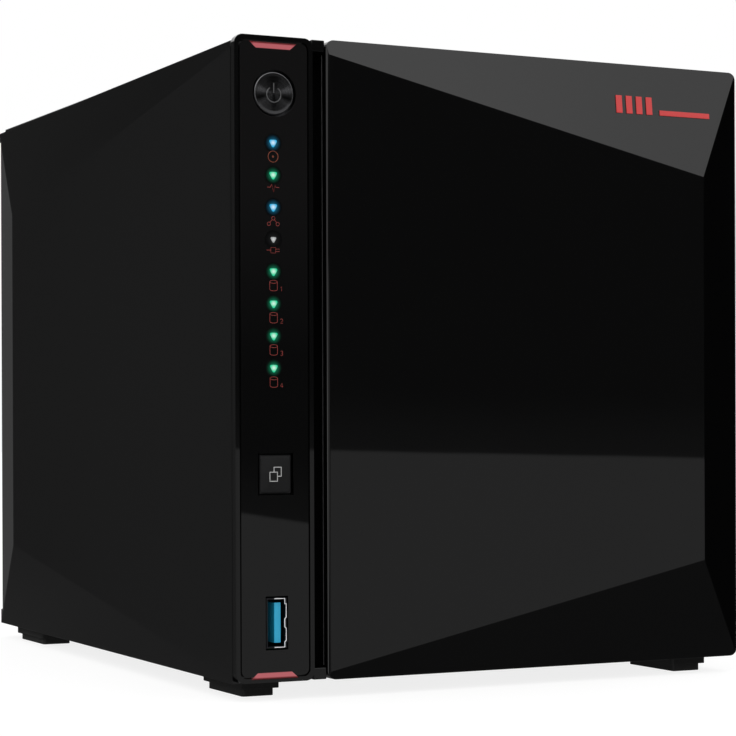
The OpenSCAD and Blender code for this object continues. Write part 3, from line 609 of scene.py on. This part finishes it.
def make_copy_key():
    """Soft-edged cap of the copy button and its two overlapping sheets."""
    lo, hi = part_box("copy_button")
    x, z, face = key_x, (lo.z + hi.z) / 2, lo.y - 0.3 * MM
    half_x, half_z, r = 4.65 * MM, 5.25 * MM, 0.9 * MM
    bm = bmesh.new()
    steps = [(0.45, 0.0), (0.2, 0.1), (0.05, 0.25), (0.0, 0.45), (0.0, 0.6)]  # inset, depth
    rings = []
    for inset, down in steps:
        dx, dz = half_x - inset * MM, half_z - inset * MM
        outline = round_box(x - dx, z - dz, x + dx, z + dz, r, 6)
        rings.append([bm.verts.new((px, face + down * MM, pz)) for px, pz in outline])
    bm.faces.new(rings[0])
    bm.faces.new(rings[-1][::-1])
    for a, b in zip(rings, rings[1:]):
        for k in range(len(a)):
            n = (k + 1) % len(a)
            bm.faces.new((a[k], a[n], b[n], b[k]))
    solid("copy_button_cap", bm, paints["button_matte"], "copy_key")
    ink = Paint("printed grey", (0.42, 0.42, 0.42), 0.45)
    ink.vary_color(ink.noise(0.4 * MM), (0.32, 0.32, 0.32))
    unit = 1.15 * MM
    back = [(-0.4, 0.5), (-0.4, 1.7), (1.5, 1.7), (1.5, -0.5), (0.6, -0.5)]
    front = [(-1.5, -1.7), (-1.5, 0.5), (0.5, 0.5), (0.5, -1.7), (-1.5, -1.7)]
    lines = [[(x + dx * unit, z + dz * unit) for dx, dz in line] for line in (back, front)]
    strokes("copy_sign", lines, 0.16 * MM, face, ink, "copy_key")


make_power_key()
make_copy_key()


def make_port_rim():
    """Rolled edge of the front port, painted near white as a painted highlight, with its two spring
    windows.
    """
    lo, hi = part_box("front_usb_shell")
    rim, out = 0.2 * MM, 0.45 * MM  # its middle's depth inside the shell, and how far it steps out
    left, right = lo.x + rim + 2.2 * MM, hi.x - rim - out
    z, half = (lo.z + hi.z) / 2, (hi.z - lo.z) / 2 - rim
    steps = [(1, 0), (0.78, 0), (0.78, out), (0.22, out), (0.16, 0), (-0.17, 0), (-0.23, out),
             (-0.72, out), (-0.79, 0), (-1, 0)]
    line = [(right + dx, z + k * half) for k, dx in steps]
    line = [(left, z + half), *line, (left, z - half)]
    # A near-white, half metallic paint stands in for the highlight on the edge.
    bright = Paint("port rim painted highlight", (0.85, 0.86, 0.87), 0.35, 0.35)
    bright.vary_color(bright.noise(0.5 * MM), (0.7, 0.71, 0.73))
    bright.vary_rough(bright.noise(0.3 * MM), 0.25, 0.45)
    strokes("front_port_rim", [line], 0.17 * MM, lo.y + 0.02 * MM, bright, "case")


make_port_rim()

seam_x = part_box("front_cover")[0].x


def make_edge_highlight():
    """A lighter grey rod on the cover's edge, a painted highlight along the gap."""
    (_, y, z0), (_, _, z1) = cad_box
    x = seam_x + 0.02 * MM
    # The rod's lighter grey is a painted highlight.
    strokes("cover_edge_highlight", [[(x, z0 + 9 * MM), (x, z1 - 4 * MM)]], 0.16 * MM, y + 3.2 * MM,
            satin("painted highlight edge", (0.032, 0.032, 0.033), 0.4), "cover")


make_edge_highlight()


def make_gap_ends():
    """Rounded blocks that close the gap between the strip and the cover at its two ends."""
    housing_lo, housing_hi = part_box("strip_housing")
    x0, x1 = housing_hi.x + 0.1 * MM, seam_x - 0.15 * MM
    y0, y1, height = housing_lo.y + 1 * MM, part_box("top_panel")[0].y - 0.4 * MM, 3.3 * MM
    for tag, z0 in (("top", housing_hi.z - height), ("bottom", housing_lo.z)):
        bm = bmesh.new()
        prism(bm, round_box(x0, z0, x1, z0 + height, 0.25 * MM, 3), y0, y1)
        end = solid(f"gap_end_{tag}", bm, paints["case_gloss"], "case")
        edge = end.modifiers.new("edge", "BEVEL")
        edge.width, edge.segments, edge.limit_method = 0.5 * MM, 3, "ANGLE"
        edge.angle_limit = math.radians(60)
        end.modifiers.new("normals", "WEIGHTED_NORMAL")


make_gap_ends()


# ---- Fan rotor ----

def make_rotor():
    """Cupped hub and curved, twisted blades in place of the plain CAD rotor."""
    lo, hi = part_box("fan_frame")
    cx, cz = (lo.x + hi.x) / 2, (lo.z + hi.z) / 2
    lo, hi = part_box("fan_rotor")
    y0, y1 = lo.y, hi.y
    hub, root, tip, count = 20 * MM, 19.2 * MM, 56.2 * MM, 7
    cup = [(0, 0.9), (12, 0.5), (17, 0.3), (18.8, 0.8), (19.7, 2), (20, 4)]
    hollow = [(18.6, 7), (1.7, 7), (1.7, 6.9), (0, 6.8)]
    cup, hollow = ([(r * MM, y0 + down * MM) for r, down in line] for line in (cup, hollow))
    bm = bmesh.new()
    lathe(bm, cup + [(hub, y1), (hub - 1.4 * MM, y1)] + hollow, (cx, cz), 96)
    stations, chord_steps = 9, 8
    for b in range(count):
        loops = []
        for s in range(stations):
            u = s / (stations - 1)  # from 0 at the root to 1 at the tip
            r = root + u * (tip - root)
            half_span = math.radians(23.5 - 2.5 * u)  # half of the angle the chord covers
            depth = (8.2 - 1.6 * u) * MM  # half of its depth along the axis
            sweep = math.radians(16 * u * u)
            thick = (1.1 - 0.45 * u) * MM
            upper, lower = [], []
            for k in range(chord_steps + 1):
                c = 2 * k / chord_steps - 1
                angle = 2 * math.pi * b / count + sweep + c * half_span
                camber = 1.9 * MM * (1 - c * c)
                x, y, z = (cx + r * math.cos(angle), (y0 + y1) / 2 + c * depth + camber,
                           cz + r * math.sin(angle))
                half = max(0.12 * MM, thick * math.sqrt(max(0.0, 1 - c ** 4)))
                upper.append(bm.verts.new((x, y + half, z)))
                lower.append(bm.verts.new((x, y - half, z)))
            loops.append(upper + lower[::-1])
        for a, n in zip(loops, loops[1:]):
            for k in range(len(a)):
                j = (k + 1) % len(a)
                bm.faces.new((a[k], a[j], n[j], n[k]))
        bm.faces.new(loops[0][::-1])
        bm.faces.new(loops[-1])
    rotor = solid("rotor", bm, paints["fan_plastic"], "fan")
    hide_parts("fan_rotor")
    rotor.modifiers.new("normals", "WEIGHTED_NORMAL").keep_sharp = False


make_rotor()


# ---- Tray numbers ----

def make_tray_digits():
    """A raised number on each tray's lever."""
    for i in range(1, 5):
        lo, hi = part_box(f"tray_{i}_lever")
        lines = digit(i, (lo.x + hi.x) / 2, hi.z - 14 * MM, 5 * MM)
        strokes(f"tray_digit_{i}", lines, 0.22 * MM, lo.y + 0.08 * MM, mark_red, f"lever_{i}")


make_tray_digits()


# ---- Stage, light and camera ----

FLOOR_RADIUS = 6.0
FLOOR_GLOW = 0.83  # keeps the floor white, with only a faint shadow
FILL = 1.12  # strength of the even light that everything but gloss sees
# The lit ground's far edge: its rise per unit of x, and its height
EDGE_TILT, EDGE_LEVEL = -0.0272, 0.0006


def make_floor():
    """A wide white disc that gloss doesn't mirror."""
    bm = bmesh.new()
    bmesh.ops.create_circle(bm, cap_ends=True, segments=96, radius=FLOOR_RADIUS)
    mesh = from_bmesh("floor", bm)
    paint = Paint("white floor", (0.24, 0.24, 0.24), 0.9, Specular_IOR_Level=0.0,
                  Emission_Strength=FLOOR_GLOW)
    paint.set("Emission Color", (1, 1, 1, 1))
    paint.vary_color(paint.noise(400 * MM, 1), (0.235, 0.235, 0.235))
    mesh.materials.append(paint.mat)
    floor = bpy.data.objects.new("floor", mesh)
    bpy.context.scene.collection.objects.link(floor)
    floor.visible_glossy = False


def make_world():
    """White to the camera, even soft light on everything, and a studio that only gloss mirrors."""
    world = bpy.data.worlds.new("studio")
    bpy.context.scene.world = world
    world.use_nodes = True
    world.cycles.sampling_method = "NONE"
    tree = world.node_tree
    tree.nodes.clear()

    def node(kind, **props):
        made = tree.nodes.new("ShaderNode" + kind)
        for key, value in props.items():
            setattr(made, key, value)
        return made

    def feed(socket, value):
        if isinstance(value, bpy.types.NodeSocket):
            tree.links.new(value, socket)
        else:
            socket.default_value = value

    def fill(made, sockets, values):
        for socket, value in zip(sockets, values):
            feed(socket, value)
        return made.outputs[0]

    def calc(operation, a, b=0.0, c=0.0):
        made = node("Math", operation=operation)
        return fill(made, made.inputs, (a, b, c))

    def ramp(value, start, end, low, high):
        """Goes smoothly from low at start to high at end."""
        made = node("MapRange", interpolation_type="SMOOTHSTEP")
        return fill(made, made.inputs, (value, start, end, low, high))

    def mix(factor, a, b):
        made = node("Mix", data_type="FLOAT")
        return fill(made, (made.inputs[0], made.inputs[2], made.inputs[3]), (factor, a, b))

    # The direction that is looked in: x to the right of the object's front, y to its back, z up
    split = node("SeparateXYZ")
    feed(split.inputs[0], node("TexCoord").outputs["Generated"])
    x, y, z = split.outputs
    # Behind: a dim room, a little darker straight back along the left side
    rear_wall = calc("ADD", ramp(x, -0.27, -0.42, 0.043, 0.078), ramp(x, -0.22, -0.02, 0.0, 0.06))
    rear_wall = calc("MULTIPLY", rear_wall, ramp(z, -0.09, -0.15, 1.0, 1.42))
    # In front: a dark room whose lit ground begins just under the horizon
    edge = calc("MULTIPLY_ADD", x, EDGE_TILT, EDGE_LEVEL)
    above = calc("SUBTRACT", z, edge)
    front_wall = ramp(above, 0.03, 0.0, 0.045, 0.088)
    ground = ramp(z, -0.165, -0.235, 0.385, 0.07)
    front_wall = mix(ramp(above, 0.0009, -0.0009, 0.0, 1.0), front_wall, ground)
    front = ramp(y, 0.1, -0.5, 0.0, 1.0)
    walls = mix(front, rear_wall, front_wall)
    walls = calc("MULTIPLY", walls, ramp(x, 0.72, 0.88, 1.0, 0.0))
    # An upright panel on the left, seen only in rounded edges, and a wide one overhead
    panel = calc("MULTIPLY", ramp(y, -0.22, -0.30, 0.0, 1.0), ramp(y, -0.62, -0.54, 0.0, 1.0))
    panel = calc("MULTIPLY", panel, ramp(x, -0.3, -0.6, 0.0, 0.95))
    walls = calc("ADD", walls, panel)
    overhead = calc("MULTIPLY", ramp(z, 0.70, 0.92, 1.33, 0.35), ramp(x, 0.48, 0.62, 1.08, 0.88))
    studio = mix(ramp(z, 0.245, 0.275, 0.0, 1.0), walls, overhead)

    path = node("LightPath")
    seen = mix(path.outputs["Is Glossy Ray"], FILL, studio)
    seen = mix(path.outputs["Is Camera Ray"], seen, 1.0)
    lamp = node("Background")
    feed(lamp.inputs["Strength"], seen)
    lamp.inputs["Color"].default_value = (1, 1, 1, 1)
    out = node("OutputWorld")
    tree.links.new(lamp.outputs[0], out.inputs["Surface"])


CAMERA_PLACE = Vector((-335.02, -707.81, 76.94)) * MM
CAMERA_TURN = (-26.141, 0.083, -0.204)  # yaw, pitch and roll in degrees
CAMERA_LENS, CAMERA_SENSOR, CAMERA_SHIFT = 113.69, 36, 0.0815


def make_camera():
    """The viewing angle: low, in front and to the left, with a long lens shifted upwards."""
    yaw, pitch, roll = (math.radians(v) for v in CAMERA_TURN)
    level = math.cos(pitch)
    back = Vector((math.sin(yaw) * level, -math.cos(yaw) * level, math.sin(pitch)))
    right = (-back).cross(Vector((0, 0, 1))).normalized()
    up = right.cross(-back)
    c, s = math.cos(roll), math.sin(roll)
    turned = Matrix((c * right + s * up, c * up - s * right, back)).transposed().to_4x4()
    data = bpy.data.cameras.new("camera")
    data.lens = CAMERA_LENS
    data.shift_y = CAMERA_SHIFT
    data.sensor_width = CAMERA_SENSOR
    data.clip_start, data.clip_end = 0.01, 50
    camera = bpy.data.objects.new("camera", data)
    camera.matrix_world = Matrix.Translation(CAMERA_PLACE) @ turned
    bpy.context.scene.collection.objects.link(camera)
    bpy.context.scene.camera = camera


make_floor()
make_world()
make_camera()
view = bpy.context.scene.view_settings
view.view_transform = "Standard"
view.look = "None"
view.exposure, view.gamma = 0, 1
